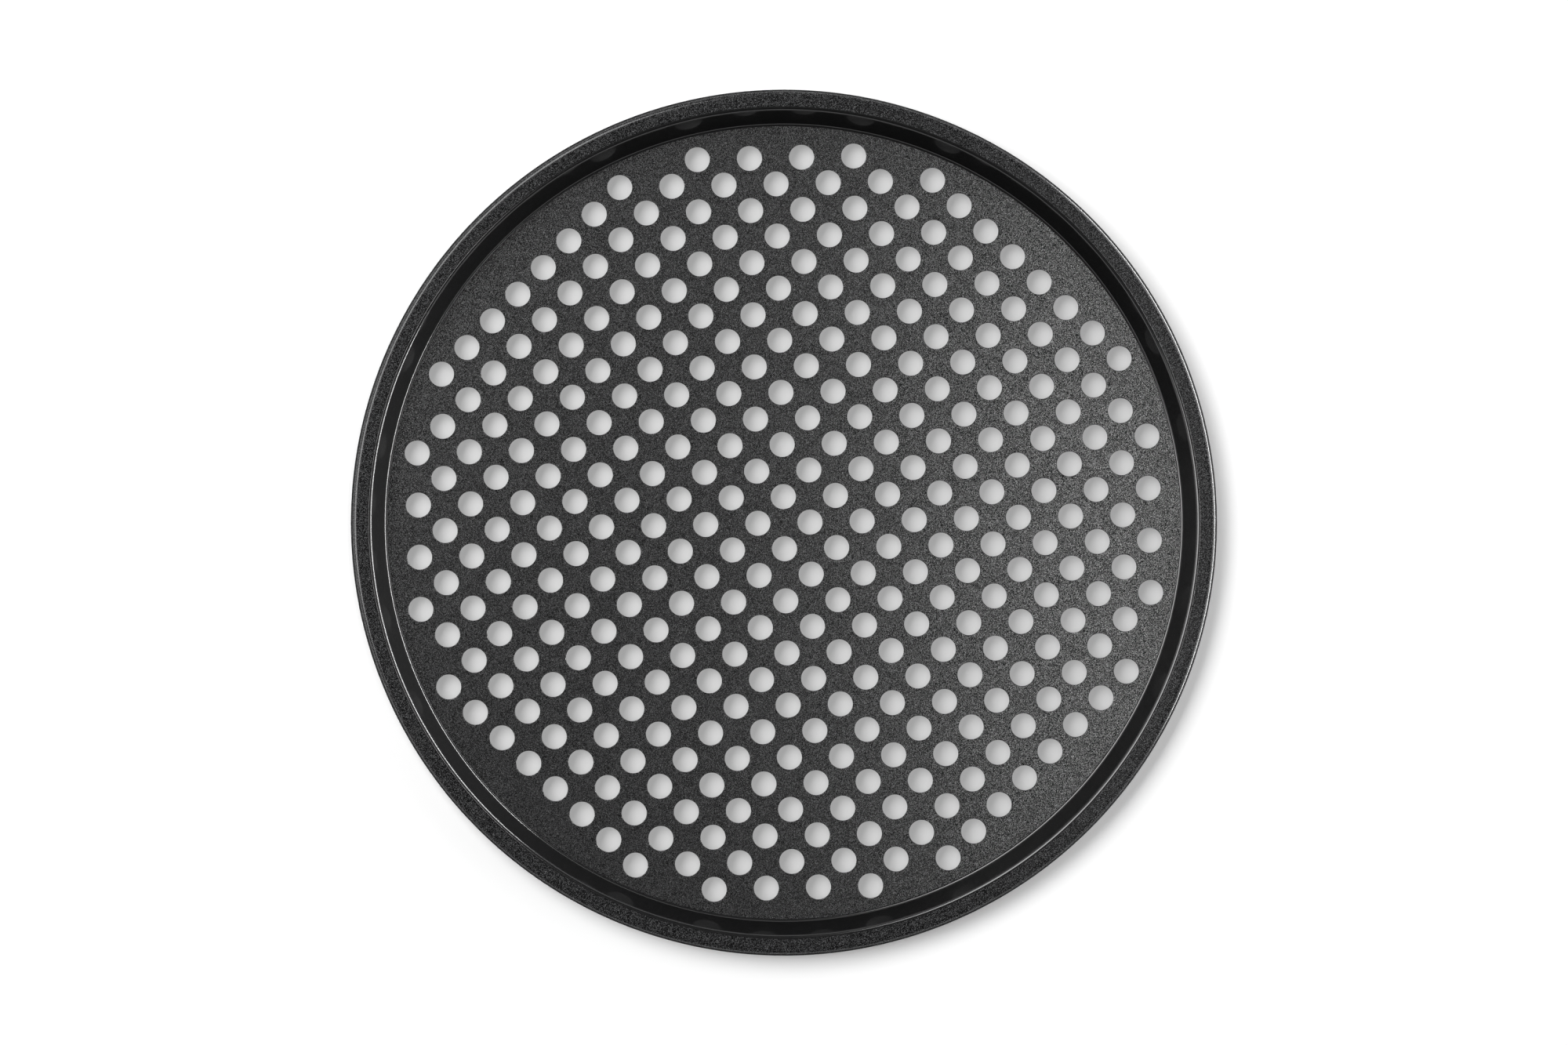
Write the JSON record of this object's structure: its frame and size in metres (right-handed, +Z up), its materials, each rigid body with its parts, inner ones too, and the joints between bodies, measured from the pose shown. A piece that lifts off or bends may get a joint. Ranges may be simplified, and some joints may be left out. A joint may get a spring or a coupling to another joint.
{
  "type": "perforated pizza pan",
  "caption": "Round shallow baking pan with a flat perforated floor, a low flared wall and a narrow rim rolled round a hidden wire.",
  "frame": {"origin": "centre of the floor's underside, which is the face that the pan stands on", "axes": "+Z up along the pan's axis, +X along the rows of holes, +Y across them"},
  "size_m": [0.33, 0.33, 0.0103],
  "materials": {
    "nonstick_coating": "satin, finely speckled non-stick coating",
    "wire_steel": "bare drawn steel wire"
  },
  "bodies": {
    "root": {"pan_sheet": "nonstick_coating", "rim_wire": "wire_steel"}
  },
  "joints": []
}
